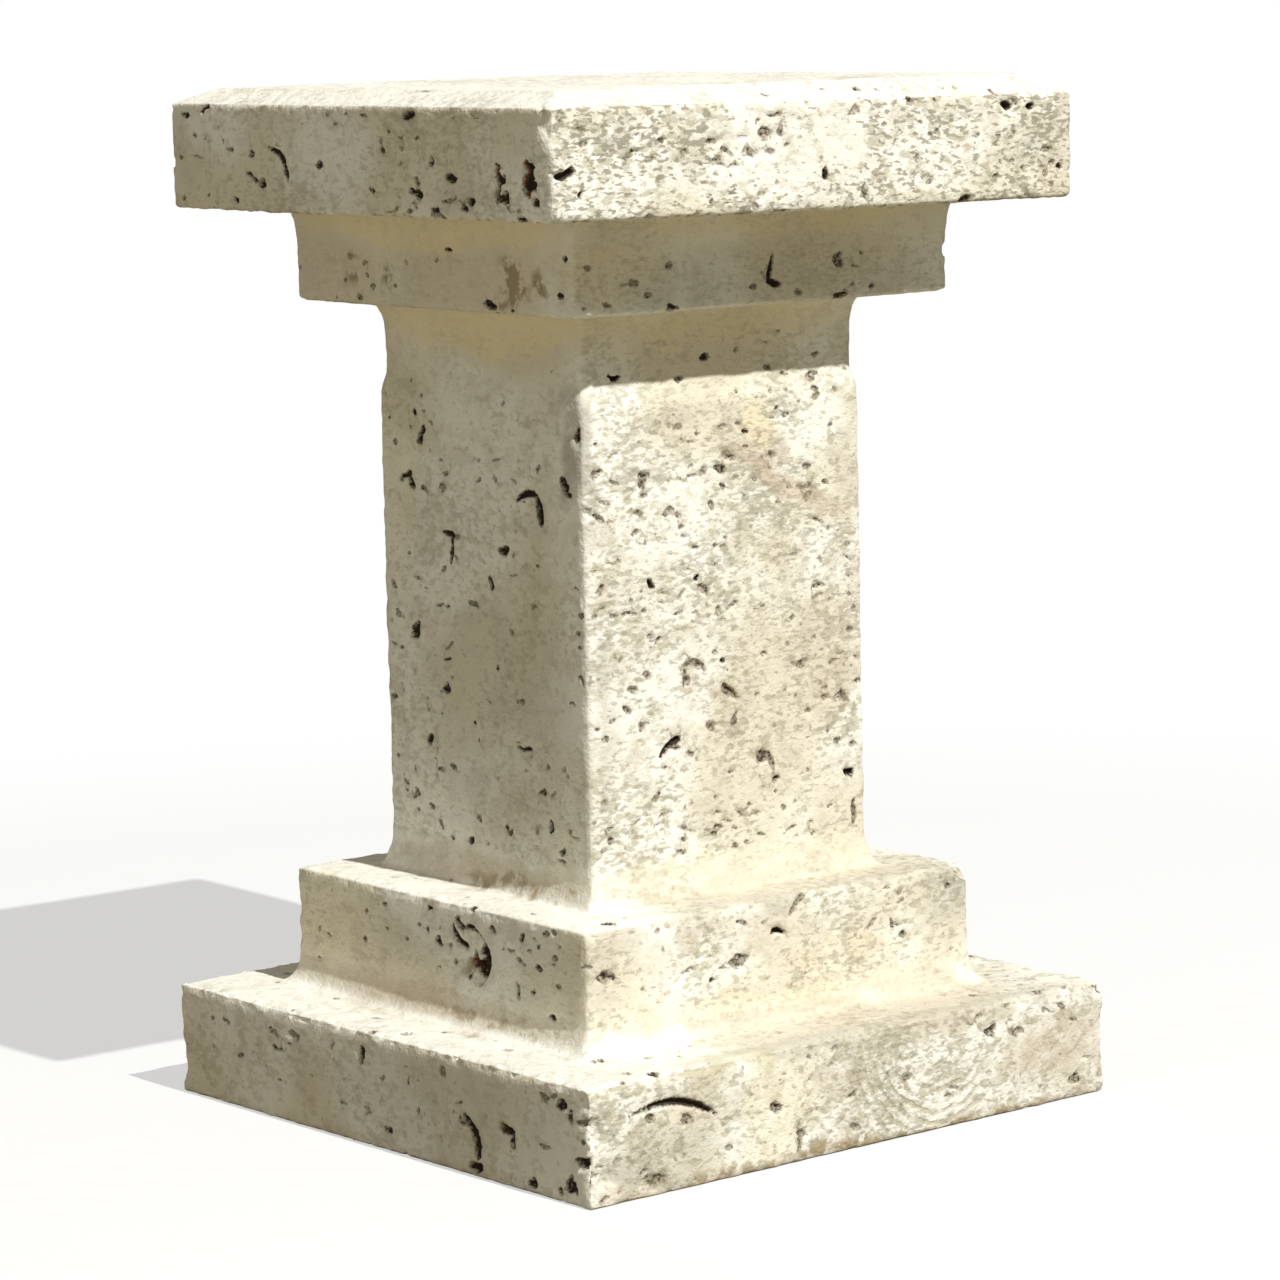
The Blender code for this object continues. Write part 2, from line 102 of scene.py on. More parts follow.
# The voids that are seen one by one, in millimetres and degrees, as (across, height, wide, tall, lean), where a lean
# of 0 may be left out, with a last 1 where iron has stained them and a last 2 where they are deep and black. Across
# runs to the right from the middle of a face, and height from the floor.
facesSeen = {
    "slab west": (
        (-121, 484, 6.5, 3), (-83, 465, 6.5, 6, 15), (-83, 453, 8, 2), (-74, 450, 5.5, 7, 10), (-98, 443, 5, 2.5),
        (48, 483, 9.5, 4), (24, 469, 4, 4), (64, 462, 5.5, 4.5), (49, 449, 9.5, 4, -10), (45, 441, 8, 2),
        (65, 442, 6, 3), (92, 447, 5.5, 3.5), (88, 441, 7, 2.5), (114, 454, 7, 14, 4, 1), (119, 447, 9.5, 5),
        (136, 456, 9, 19, -6, 1), (131, 438, 6, 2), (-139, 482, 8, 3), (141, 447, 5, 5), (78, 455, 8, 3)),
    "slab south": (
        (-147, 458, 8, 4, 0, 2), (-138, 448, 4.5, 4, 0, 2), (-34, 472, 5, 3), (-27, 472, 4, 2.5), (-14, 478, 3.5, 2),
        (-31, 463, 5, 3), (-52, 455, 5, 2), (-36, 444, 5, 2), (1, 452, 4.5, 4.5, 20, 2), (26, 443, 3, 10, 8),
        (95, 461, 3, 2), (111, 479, 5, 6, 0, 2), (127, 478, 4.5, 4.5, 0, 2), (135, 448, 3, 3), (139, 440, 4, 3)),
    "cap west": ((49, 396, 14.5, 5), (16, 420, 4, 2), (106, 418, 4, 3)),
    "cap south": ((43, 409, 6, 6), (-57, 394, 6, 4, 0, 2), (44, 394, 8.5, 3, 0, 1), (52, 398, 4, 2)),
    "shaft west": (
        (-46, 328, 5, 9, -20), (-52, 338, 4, 4), (-60, 308, 8, 4), (-55, 304, 4, 7, 20), (70, 310, 5.5, 8, 15),
        (48, 357, 4, 2), (17, 276, 8, 6), (7, 258, 4, 9), (-56, 233, 7, 7.5), (-31, 221, 6.5, 2.5), (-30, 205, 7, 5),
        (-47, 181, 4, 5), (-9, 193, 3, 5), (29, 183, 11, 2), (44, 164, 7, 4.5), (51, 149, 5, 6), (18, 144, 5, 4),
        (-14, 135, 4, 4), (59, 139, 4, 5), (79, 335, 4, 6)),
    "shaft south": (
        (-62, 362, 10, 3, -10, 2), (-25, 358, 6, 3), (-47, 310, 5.5, 7.5, 10), (-3, 314, 6, 4), (60, 302, 6, 4),
        (-44, 264, 5, 3.5, 0, 2), (-18, 264, 4.5, 4, 0, 2), (-58, 250, 8, 2), (-25, 216, 6, 5, -30),
        (-18, 222, 5, 3, 20), (1, 206, 10, 4.5, -35), (3, 195, 3, 5), (-13, 193, 4, 3), (-35, 184, 12, 4, 28),
        (-25, 181, 5, 3), (20, 173, 9, 6.5), (73, 161, 5, 4, 0, 2), (75, 141, 3, 14, 8), (-71, 146, 5, 3),
        (-32, 135, 4, 2)),
    "upperPlinth west": (
        (39, 90, 7, 15, 5, 1), (31, 85, 8, 6, 0, 1), (34, 78, 4, 3, 0, 2), (26, 79, 3.5, 3),
        (-4, 107, 5.5, 3.5, 0, 2), (-6, 98, 3.5, 4.5, 10), (2, 92, 6.5, 3, -30), (20, 105, 4, 7, 20), (75, 81, 4, 3),
        (69, 106, 3, 6), (63, 80, 4, 6)),
    "upperPlinth south": (
        (-4, 99, 8, 4, 0, 2), (67, 91, 3, 4), (75, 83, 8, 4), (-25, 87, 7, 3), (-106, 90, 8.5, 4), (-86, 84, 4, 2)),
    "lowerPlinth west": (
        (102, 26, 12, 5, -10, 1), (106, 23, 5, 7), (75, 5, 9.5, 7, 0, 1), (119, 5, 6, 6), (139, 6, 5, 5),
        (148, 9, 7, 7), (157, 21, 10, 6, 20), (141, 44, 8, 5), (148, 40, 5, 6), (-10, 43, 4.5, 6.5), (27, 37, 3, 4),
        (34, 24, 3, 4), (10, 10, 4, 3), (-79, 36, 4, 4)),
    "lowerPlinth south": (
        (-126, 37, 5.5, 4.5), (-103, 30, 6, 4.5), (-51, 28, 6, 7), (-37, 16, 3, 4), (-36, 8, 4, 6),
        (-4, 27, 7, 2.5, 30), (85, 44, 7, 8), (139, 10, 7, 6)),
}

# Chips and hollows that stay pale, in the same units, with how deep they go at the end.
chipsSeen = {
    "lowerPlinth west": ((-161, 15, 9, 28, 0, 3.2), (158, 50, 9, 9, 30, 1.5)),
    "lowerPlinth south": (
        (162, 54, 16, 14, 0, 2.5), (-150, 12, 14, 9, 20, 1.4), (-128, 6, 16, 8, 0, 1.2), (-110, 18, 12, 8, -20, 1.0),
        (-158, 34, 9, 16, 0, 2.4)),
    "upperPlinth west": ((31, 89, 26, 25, 0, 1.6),),
    "upperPlinth south": ((117, 113, 22, 17, 0, 6.0),),
    "cap south": ((111, 410, 8, 8, 0, 4.5),),
    "slab south": ((-64, 469, 12, 6.5, 0, 1.6), (-151, 478, 16, 18, 0, 2.0)),
    "slab west": ((-60, 459, 16, 19, -40, 1.2),),
}

# Open cracks in the same units, as (across, height) of one end and of the other, bulge to the left, thickness, and
# the same last number as a void's.
cracksSeen = {
    "slab west": (((-68, 467), (-52, 452), 3, 3.6, 2),),
    "cap south": (((4, 415), (1, 401), 0, 2.8, 2), ((0, 402), (8, 400), 0, 3.4, 2)),
    "shaft west": (
        ((-31, 282), (-21, 281), 0, 3.0, 2), ((-23, 282), (-25, 267), 1, 2.4, 0), ((30, 301), (46, 305), 2, 3.6, 2),
        ((46, 305), (49, 291), 1, 5.0, 2)),
    "shaft south": (
        ((-29, 221), (-14, 219), 4, 3.2, 0), ((-26, 221), (-27, 213), 0, 2.4, 0), ((16, 177), (26, 167), 3, 3.4, 0),
        ((-42, 181), (-30, 189), 1, 4.0, 2)),
    "upperPlinth west": (
        ((14, 103), (24, 93), -2, 3.6, 2), ((22, 101), (34, 100), 3, 2.4, 0), ((37, 98), (36, 81), 4, 6.0, 1),
        ((29, 92), (28, 84), 2, 3.0, 1)),
    "upperPlinth south": (((3, 104), (14, 113), 1, 2.6, 0),),
    "lowerPlinth west": (((69, 28), (79, 9), 4, 5.6, 2),),
    "lowerPlinth south": (((-138, 39), (-86, 31), 6.5, 3.7, 2),),
}
# Clusters of small level pits, in the same units, as (across, height, half width, half height, how many).
pitClusters = {
    "slab south": (
        (-64, 469, 22, 10, 12), (-30, 472, 12, 9, 7), (-108, 466, 14, 12, 9), (62, 481, 60, 4, 9),
        (-70, 441, 50, 5, 9), (60, 455, 40, 14, 6), (118, 459, 22, 14, 6), (-141, 470, 10, 14, 6)),
    "slab west": ((-118, 468, 26, 14, 7), (50, 446, 26, 9, 8), (104, 446, 38, 9, 10), (40, 478, 70, 6, 8)),
    "cap south": ((46, 402, 10, 9, 3),),
    "shaft south": (
        (-14, 322, 20, 14, 14), (40, 352, 32, 10, 9), (-70, 290, 10, 40, 16), (-30, 292, 28, 12, 8),
        (56, 290, 22, 14, 9), (-40, 256, 30, 12, 12), (58, 256, 22, 18, 14), (-12, 238, 40, 12, 10),
        (50, 212, 26, 20, 12), (-60, 220, 18, 24, 10), (-40, 152, 36, 14, 14), (30, 150, 34, 14, 12)),
    "shaft west": (
        (-50, 320, 24, 24, 8), (20, 300, 40, 20, 8), (-40, 240, 34, 30, 10), (50, 240, 28, 40, 12),
        (-20, 180, 50, 30, 12), (55, 160, 24, 24, 10), (0, 140, 60, 8, 6)),
    "upperPlinth west": ((50, 92, 50, 12, 7), (-60, 90, 40, 12, 3)),
    "upperPlinth south": ((-45, 88, 20, 6, 7), (-20, 104, 60, 5, 7), (80, 98, 26, 10, 8)),
    "lowerPlinth west": ((-20, 28, 60, 16, 12), (60, 36, 40, 12, 8), (142, 34, 16, 14, 10), (-110, 36, 34, 12, 5)),
    "lowerPlinth south": (
        (-128, 12, 30, 10, 14), (110, 46, 40, 8, 12), (-20, 44, 40, 8, 7), (-30, 8, 40, 6, 6), (90, 20, 60, 12, 6)),
}
pitSizes = dict(wide=(2.8, 8.0), tall=(1.3, 3.0), lean=24, seed=3)

# How the voids above are cut, in metres: how uneven and ragged their walls are, and how deep one goes for each
# millimetre of its size.
voidCut = dict(uneven=(0.0068, 0.0024), raggedSize=0.0034, ragged=0.00034, crackRagged=0.0003, shallowest=0.0005,
               perSize=0.0006, deepest=0.0050, wall=0.0009, chipWall=0.0030, near=0.045)
# How deep each kind of void goes, as a share of the black ones' depth, and how many millimetres of its dirt and
# painted shade count, most on the west and north faces, which lie in shade.
voidKinds = dict(black=(1.0, 2.0), pit=(0.45, 0.02), south=(0.45, 0.10), west=(0.8, 0.45), east=(0.6, 0.3),
                 north=(0.8, 0.45))

# Stains, darker and paler places, with some painted light and shade among them, in the same units, as (across,
# height, wide, tall, tint, strength, lean). Beige ones lie on a ledge too.
stainsAndPaintedLight = {
    "slab south": ((-10, 466, 300, 74, "pale", 0.75), (140, 462, 44, 40, "grey", 0.35)),
    "slab west": ((-148, 470, 30, 26, "tan", 0.40), (70, 448, 90, 16, "tan", 0.25)),
    # On the cap, the warm bands along its upper cove, under the slab, are painted warm bounce light in the slab's
    # shade.
    "cap west": (
        (66, 406, 24, 30, "stain", 0.95, 20), (84, 402, 16, 20, "stain", 0.80), (-62, 409, 18, 18, "stain", 0.80),
        (-33, 406, 10, 18, "stain", 0.75, -20), (52, 395, 30, 8, "stain", 0.70), (0, 436, 260, 44, "warm", 1.0)),
    "cap south": ((0, 400, 260, 50, "grey", 0.35), (0, 436, 260, 34, "warm", 0.60), (-90, 410, 60, 40, "warm", 0.40)),
    # On the shaft's west face, the warm band at its head is painted warm bounce light in shade, and the tan and brown
    # bands at its foot are brown stain and painted shade in the cove.
    "shaft west": (
        (0, 390, 200, 60, "warm", 1.0), (-70, 300, 40, 120, "warm", 0.30), (50, 215, 60, 110, "tan", 0.22),
        (10, 190, 150, 160, "grey", 0.30), (0, 122, 180, 20, "tan", 0.55), (30, 118, 110, 10, "stain", 0.60)),
    # On the shaft's south face, the warm band at its head is painted warm bounce light in the slab's shade.
    "shaft south": (
        (0, 386, 200, 40, "warm", 0.55), (20, 330, 26, 36, "warm", 0.60, 25), (37, 303, 104, 14, "tan", 1.0, -27),
        (30, 322, 40, 18, "tan", 0.40, -30), (-40, 300, 60, 70, "pale", 0.60), (55, 335, 50, 30, "pale", 0.60),
        (-22, 218, 16, 22, "tan", 0.55, -30), (-5, 208, 18, 12, "tan", 0.70), (62, 205, 34, 50, "tan", 0.35),
        # The grey band at (-79, 325) on the front arris is painted shadow, the slab's shadow running down the corner.
        (-50, 238, 40, 30, "tan", 0.30), (-74, 200, 12, 150, "grey", 0.35), (-79, 325, 9, 80, "grey", 0.95),
        (0, 122, 220, 26, "sand", 0.70)),
    # On the upper plinth's west face, the broad grey wash is painted shade, and the tan and brown bands at its foot
    # are brown stain and painted shade in the cove.
    "upperPlinth west": (
        (-90, 92, 60, 60, "warm", 0.35), (0, 62, 240, 20, "tan", 0.50), (50, 60, 120, 10, "stain", 0.50),
        (33, 89, 22, 24, "stain", 0.95), (30, 90, 210, 56, "grey", 0.40)),
    "upperPlinth south": (
        (-30, 100, 90, 24, "tan", 0.35), (100, 104, 44, 30, "grey", 0.50), (0, 66, 250, 22, "sand", 0.80),
        (40, 84, 90, 20, "warm", 0.30), (0, 114, 250, 14, "beige", 0.80), (20, 115, 230, 10, "grey", 0.50)),
    # On the lower plinth's west face, the broad grey wash is painted shade, and the tan band at the very foot only
    # makes it darker where it meets the floor.
    "lowerPlinth west": (
        (-90, 26, 170, 60, "tan", 0.30), (60, 28, 240, 70, "grey", 0.40), (0, 2, 330, 7, "tan", 0.45)),
    # The brown and tan bands along the very foot only make the stone darker where it meets the floor.
    "lowerPlinth south": (
        (-50, 26, 58, 84, "warm", 0.38, -20), (66, 53, 90, 16, "tan", 0.55), (122, 28, 86, 44, "tan", 0.60),
        (50, 34, 60, 34, "pale", 1.0), (0, 57, 330, 16, "beige", 0.90), (20, 57, 300, 16, "grey", 0.50),
        (-118, 15, 84, 34, "grey", 0.50), (-125, 46, 60, 20, "pale", 0.70), (-72, 54, 50, 14, "olive", 0.60, -10),
        (-8, 34, 56, 30, "tan", 0.45), (10, 2, 330, 10, "stain", 0.80), (10, 1, 330, 6, "tan", 1.0),
        (-96, 50, 26, 16, "olive", 0.60, -30)),
}
# How unevenly their outlines bend, how much of them fades, and how near to the face or the ledge they lie.
stainAndPaintedLightShape = dict(bends=((0.016, 0.0045), (0.0050, 0.0016)), fade=0.45, face=0.014, ledge=(0.020, 0.026))
stainAndPaintedLightTints = ("warm", "sand", "beige", "tan", "grey", "olive", "stain")  # from the lowest up

# Arcs of fine growth lines, in millimetres: their middle as (across, height), radii and spacing, how they fade at
# both rims, to the right and upwards, and how far in they go.
swirlSeen = dict(tier="lowerPlinth", face="south", middle=(54, 50), radii=(24, 70), spacing=5.4, rims=(8, 12),
                 right=(34, 14), above=(-2, -10), inward=6, bend=7)

# The hidden faces: how many voids on each tier, in what share of its width and height, and their sizes.
facesScattered = dict(faces=("east", "north"), voids=dict(slab=14, cap=6, shaft=20, upperPlinth=6, lowerPlinth=12),
                      across=0.46, up=(0.12, 0.90), wide=(3.0, 10.0), tall=(2.0, 7.0), lean=25, seed=7)
faceTurn = dict(south=0.0, east=90.0, north=180.0, west=270.0)

# How much the small marks are held back: where the stone faces the sky, on ledges to the west and on the slab's top,
# where they fade as painted sunlight, on west faces, in coves and in the shade at the shaft's head.
calmMarks = dict(sky=0.2, ledge=0.6, slabTop=0.8, west=0.4, cove=0.5, head=0.5, strokes=0.6, westStrokes=0.5)


# A number from 0 to 1 for each lattice point: its three whole coordinates multiplied, mixed and shifted.
def latticeNumber(i, j, k, salt):
    whole = np.uint32
    h = i.astype(whole) * whole(0x8DA6B343)
    h ^= j.astype(whole) * whole(0xD8163841)
    h ^= k.astype(whole) * whole(0xCB1AB31F)
    h += whole((salt * 0x9E3779B9) & 0xFFFFFFFF)
    for factor in (0x2C1B3C6D, 0x297A2D39):
        h ^= h >> whole(15)
        h *= whole(factor)
    h ^= h >> whole(15)
    return h.astype(np.float32) / np.float32(2 ** 32)


# A soft step from 0 to 1: three squares less two cubes of the share between low and high.
def smoothStep(low, high, value):
    share = np.clip((value - low) / (high - low), 0.0, 1.0)
    return share * share * (3 - 2 * share)


# Place along axes turned anticlockwise by so many degrees.
def turned(x, y, degrees):
    turn = math.radians(degrees)
    return x * math.cos(turn) + y * math.sin(turn), y * math.cos(turn) - x * math.sin(turn)


# Turns the lattice, so that it never lines up with the faces.
skew = np.array(Matrix.Rotation(0.9, 3, Vector((0.6, 0.5, 0.7))), dtype=np.float32)


# Numbers from -1 to 1 that change softly over the given size: lattice numbers blended between a cell's 8 corners.
def softNoise(points, size, salt):
    place = (points.astype(np.float32) @ skew) / np.float32(size) + np.float32(64.3)
    corner = np.floor(place).astype(np.int32)
    share = place - corner
    share = share * share * share * (share * (share * 6 - 15) + 10)
    total = np.zeros(len(points), dtype=np.float32)
    for a, b, c in product((0, 1), repeat=3):
        weight = share[:, 0] if a else 1 - share[:, 0]
        weight = weight * (share[:, 1] if b else 1 - share[:, 1])
        weight = weight * (share[:, 2] if c else 1 - share[:, 2])
        total += weight * latticeNumber(corner[:, 0] + a, corner[:, 1] + b, corner[:, 2] + c, salt)
    return 2 * total - 1


# Soft noise with finer and fainter layers added, each of half the size and half the strength.
def layeredNoise(points, size, salt, layers=3):
    total = sum(softNoise(points, size / 2 ** n, salt + 101 * n) / 2 ** n for n in range(layers))
    return total / (2 - 2.0 ** (1 - layers))


# Moves the points a little way by three noises, so that round forms drawn through them come out uneven.
def warped(points, size, reach, salt):
    return points + reach * np.stack([softNoise(points, size, salt + n) for n in range(3)], axis=1)


# How far inside a scattered void each point is, in metres, and below 0 outside.
# Each cell has one centre at a random place, whose radius shrinks to nothing as the cell's number passes the share.
def insideScatteredVoid(points, layer, amount):
    squeeze = np.array((1.0, 1.0, layer["squeeze"]), dtype=np.float32)
    place = points * squeeze / np.float32(layer["cell"]) + np.float32(80.0)
    corner = np.floor(place - 0.5).astype(np.int32)
    small, large = layer["radii"]
    deepest = np.full(len(points), -1.0, dtype=np.float32)
    for a, b, c in product((0, 1), repeat=3):
        i, j, k = corner[:, 0] + a, corner[:, 1] + b, corner[:, 2] + c
        numbers = [latticeNumber(i, j, k, layer["salt"] + 7 * n) for n in range(5)]
        centre = np.stack([i, j, k], axis=1) + 0.5 + 0.6 * (np.stack(numbers[:3], axis=1) - 0.5)
        held = smoothStep(0.0, 0.12, layer["share"] * amount - numbers[3])
        radius = (small + (large - small) * numbers[4] ** 2) * held
        away = np.sqrt(((place - centre) ** 2).sum(axis=1))
        deepest = np.maximum(deepest, radius - away)
    return deepest * layer["cell"]


# Quarter ellipse at a tier's foot or head: a worn edge, or a cove where it reaches out.
def tierCurve(name, end, inset=0.0):
    reach, tall = tierEnds[name][end]
    level, rows = tiers[name][end], []
    for step in range(fineness["curveRows"] + 1):
        t = math.pi / 2 * step / fineness["curveRows"]
        up, out = (1 - math.cos(t), 1 - math.sin(t)) if end == "foot" else (math.sin(t) - 1, 1 - math.cos(t))
        rows.append(("cove" if reach < 0 else "edge", name, level + tall * up, inset + reach * out))
    return rows


# The levels from the underside up, as (kind, tier, height, inset), where the kind is edge, cove or face.
def stoneLevels():
    slab, neckLevel, ease = tiers["slab"], tiers["shaft"]["head"] - neck["height"], bevel["ease"]
    brow = slab["head"] - bevel["height"]
    widest = min(slab["width"], slab["depth"]) / 2 - fineness["topHole"]
    between = dict(
        shaft=[("face", "shaft", neckLevel, 0.0), ("face", "shaft", neckLevel + neck["step"], neck["inset"])],
        slab=[("edge", "slab", brow - ease, 0.0), ("edge", "slab", brow, ease / 2),
              ("edge", "slab", slab["head"] - ease / 2, bevel["reach"] - ease),
              ("edge", "slab", slab["head"], bevel["reach"]), ("face", "slab", slab["head"], widest)])
    levels = []
    for name, ends in tierEnds.items():
        levels += tierCurve(name, "foot") + between.get(name, [])
        if "head" in ends:
            levels += tierCurve(name, "head", neck["inset"] if name == "shaft" else 0.0)
    return levels


# The slab was cut by eye too: how far its soffit edge and its brow rise (+) or fall at the corners, in millimetres,
# as (west end, east end) of the south side and of the north side.
slabLifts = dict(soffit=((0.0, -2.2), (-0.6, 0.2)), brow=((0.0, -3.0), (0.4, -1.0)))


# Lift of a point of the slab's ring, between the four corners' lifts.
def liftOf(corners, x, y):
    u, v = np.clip(x / tiers["slab"]["width"] + 0.5, 0, 1), np.clip(y / tiers["slab"]["depth"] + 0.5, 0, 1)
    south, north = ((1 - u) * west + u * east for west, east in corners)
    return mm * ((1 - v) * south + v * north)


# Columns round a square tier: each is a point of the inner square plus a point of the corner's arc.
def columnTemplate():
    side, steps = fineness["sideColumns"], fineness["arrisColumns"]
    inner, arc = [], []
    for quarterTurn, (x, y) in enumerate(((1, 1), (-1, 1), (-1, -1), (1, -1))):
        for step in range(steps + 1):
            angle = math.pi / 2 * (quarterTurn + step / steps)
            inner.append((x, y))
            arc.append((math.cos(angle), math.sin(angle)))
        nextX, nextY = -y, x
        for k in range(1, side):
            share = k / side
            inner.append((x + (nextX - x) * share, y + (nextY - y) * share))
            arc.append(arc[-1])
    return np.array(inner), np.array(arc)


# One ring of points: the inner square scaled to the tier and its arc added, then turned and shifted.
def ringPoints(name, height, inset, inner, arc):
    tier = tiers[name]
    half = np.array([tier["width"] / 2 - inset, tier["depth"] / 2 - inset])
    arris = min(tier["arris"], half.min())
    flat = inner * (half - arris) + arc * arris
    x, y = (place + shift for place, shift in zip(turned(flat[:, 0], flat[:, 1], -tier["turn"]), tier["shift"]))
    z = np.full_like(x, height)
    if name == "slab" and height < tier["head"] - 0.002:
        middle = tier["foot"] + tier["height"] / 2
        z += liftOf(slabLifts["soffit" if height < middle else "brow"], x, y)
    return np.stack([x, y, z], axis=1)


# The smooth surface as rows of rings, with each row's distance from coves and edges and the name of its tier.
# Rows between two levels lie on straight lines from ring to ring, a row step apart.
def smoothSurface():
    levels = stoneLevels()
    inner, arc = columnTemplate()
    rings = np.array([ringPoints(name, height, inset, inner, arc) for _, name, height, inset in levels])
    # Where each ring stands in profile: half its width less the inset, and its height.
    profile = np.array([(tiers[name]["width"] / 2 - inset, height) for _, name, height, inset in levels])
    spans = np.hypot(*np.diff(profile, axis=0).T)
    along = np.concatenate([[0.0], np.cumsum(spans)])
    onTop = len(levels) - 2
    counts = [max(1, math.ceil(span / (fineness["topStep"] if n == onTop else fineness["rowStep"])))
              for n, span in enumerate(spans)]
    rowAlong = np.concatenate(
        [along[n] + spans[n] * np.arange(count) / count for n, count in enumerate(counts)] + [along[-1:]])
    before = np.clip(np.searchsorted(along, rowAlong, side="right") - 1, 0, len(levels) - 2)
    share = (rowAlong - along[before]) / spans[before]
    surfacePoints = rings[before] * (1 - share)[:, None, None] + rings[before + 1] * share[:, None, None]
    kinds = np.array([kind for kind, *_ in levels])
    inCove = (kinds == "cove").astype(float)
    coveRows = (inCove[before] > 0) & (inCove[before + 1] > 0)
    # How far each row lies inside a cove along the profile, and below 0 outside.
    fromCove = np.abs(rowAlong[:, None] - rowAlong[None, coveRows]).min(axis=1)
    fromPlain = np.abs(rowAlong[:, None] - rowAlong[None, ~coveRows]).min(axis=1)
    rowCove = np.where(coveRows, fromPlain, -fromCove)
    edgeAlong = along[kinds == "edge"]
    rowEdge = np.abs(rowAlong[:, None] - edgeAlong[None, :]).min(axis=1)
    return surfacePoints, rowCove, rowEdge, [levels[n][1] for n in before]


# Normals by crossing the way round with the way up, from the differences of neighbouring points.
def gridNormals(points):
    around = np.roll(points, -1, axis=1) - np.roll(points, 1, axis=1)
    upward = np.gradient(points, axis=0)
    normal = np.cross(around, upward)
    return normal / np.maximum(np.linalg.norm(normal, axis=2, keepdims=True), 1e-12)


# Places on a tier's face: across to the right, height above the floor, and inward from the face.
def facePlaces(points, name, face):
    tier = tiers[name]
    x, y = points[:, 0] - tier["shift"][0], points[:, 1] - tier["shift"][1]
    across, back = turned(x, y, tier["turn"] + faceTurn[face])
    halfOut = tier["depth" if face in ("south", "north") else "width"] / 2
    return across, points[:, 2], halfOut + back


# Places in a leaning oval, in its own half widths.
def ovalPlaces(across, height, row):
    x0, z0, wide, tall, lean = (*row, 0)[:5]
    u, v = turned(across - x0 * mm, height - z0 * mm, lean)
    return u / (wide * mm / 2), v / (tall * mm / 2)


# How far inside a void each point is: one minus its distance in an ellipsoid's own half widths, times the mean one.
# A void goes in by its larger half width, and a chip by its smaller one.
def insideVoid(across, height, inward, row, isChip=False):
    u, v = ovalPlaces(across, height, row)
    a, b = row[2] * mm / 2, row[3] * mm / 2
    w = inward / (1.2 * (min if isChip else max)(a, b))
    return (1 - np.sqrt(u * u + v * v + w * w)) * math.sqrt(a * b)


# How far inside a crack each point is: its half thickness, thinner at both tips, less the distance to its curve,
# which bulges as a parabola. A crack closes below 4 mm.
def insideCrack(across, height, inward, row):
    (x0, z0), (x1, z1), bulge, thick = row[:4]
    share = np.linspace(0.0, 1.0, 25)
    run = np.array([x1 - x0, z1 - z0], dtype=float)
    left = np.array([-run[1], run[0]]) / np.hypot(*run)
    curve = np.array([x0, z0]) + share[:, None] * run + (4 * bulge * share * (1 - share))[:, None] * left
    half = thick / 2 * (0.25 + 0.75 * np.sqrt(np.abs(np.sin(np.pi * share ** 1.4))))
    away = np.hypot(across[:, None] / mm - curve[:, 0], height[:, None] / mm - curve[:, 1])
    return ((half - away).max(axis=1) - np.maximum(inward / mm - 4, 0)) * mm


# Voids for the faces that the lists leave plain: even random places, with smaller sizes more common than large.
def scatteredRows(name, count, rng):
    tier, spread, rows = tiers[name], facesScattered, []
    for _ in range(count):
        across = rng.uniform(-spread["across"], spread["across"]) * tier["width"] / mm
        height = (tier["foot"] + rng.uniform(*spread["up"]) * tier["height"]) / mm
        wide, tall = (low + (high - low) * rng.random() ** 2 for low, high in (spread["wide"], spread["tall"]))
        rows.append((across, height, wide, tall, rng.uniform(-1, 1) * spread["lean"]))
    return rows


# Every void, crack and chip of the stone, gathered by tier and face as (kind, row).
def stoneVoids():
    rng = np.random.default_rng(facesScattered["seed"])
    found = {}
    for kind, seen in (("chip", chipsSeen), ("void", facesSeen), ("crack", cracksSeen)):
        for place, rows in seen.items():
            found.setdefault(place, []).extend((kind, row) for row in rows)
    for face in facesScattered["faces"]:
        for name, count in facesScattered["voids"].items():
            found[name + " " + face] = [("void", row) for row in scatteredRows(name, count, rng)]
    rng = np.random.default_rng(pitSizes["seed"])
    for place, clusters in pitClusters.items():
        for across, height, halfWide, halfTall, count in clusters:
            spread = rng.uniform(-1, 1, (count, 3)) * (halfWide, halfTall, pitSizes["lean"])
            sizes = rng.random((count, 2)) ** 1.5
            wide, tall = (low + (high - low) * sizes[:, n]
                          for n, (low, high) in enumerate((pitSizes["wide"], pitSizes["tall"])))
            found[place] += [("pit", (across + x, height + z, w, t, lean))
                             for (x, z, lean), w, t in zip(spread, wide, tall)]
    return found


